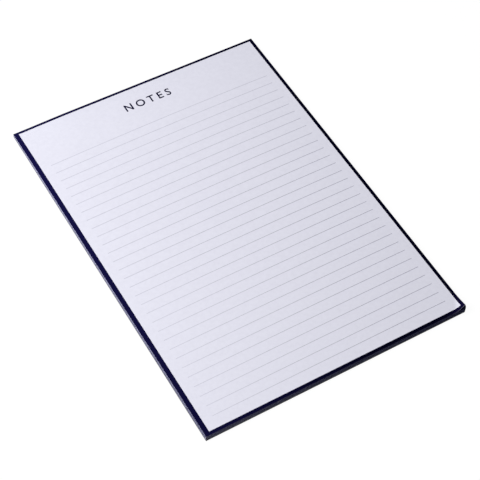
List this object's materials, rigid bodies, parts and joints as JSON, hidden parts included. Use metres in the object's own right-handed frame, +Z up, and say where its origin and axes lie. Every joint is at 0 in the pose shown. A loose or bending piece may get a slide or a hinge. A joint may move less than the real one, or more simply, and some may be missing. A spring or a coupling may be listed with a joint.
{
  "type": "notepad",
  "caption": "Flat A5 tear-off notepad: ruled sheets with a dark printed border on a grey backing board, glued along the head edge, one foot corner dog-eared.",
  "frame": {"origin": "middle of the underside, at the centre of the bounding box in X and Y", "axes": "+X across the sheet to the right, +Y from the free foot edge to the glued head edge, +Z up out of the writing face"},
  "size_m": [0.148, 0.2102, 0.0069],
  "materials": {
    "page_paper": "uncoated white writing paper, matt",
    "grey_board": "recycled grey board, matt",
    "padding_glue": "dried padding glue, soft satin film"
  },
  "bodies": {
    "root": {"page_block": "page_paper", "backing_board": "grey_board", "binding_glue": "padding_glue"}
  },
  "joints": []
}
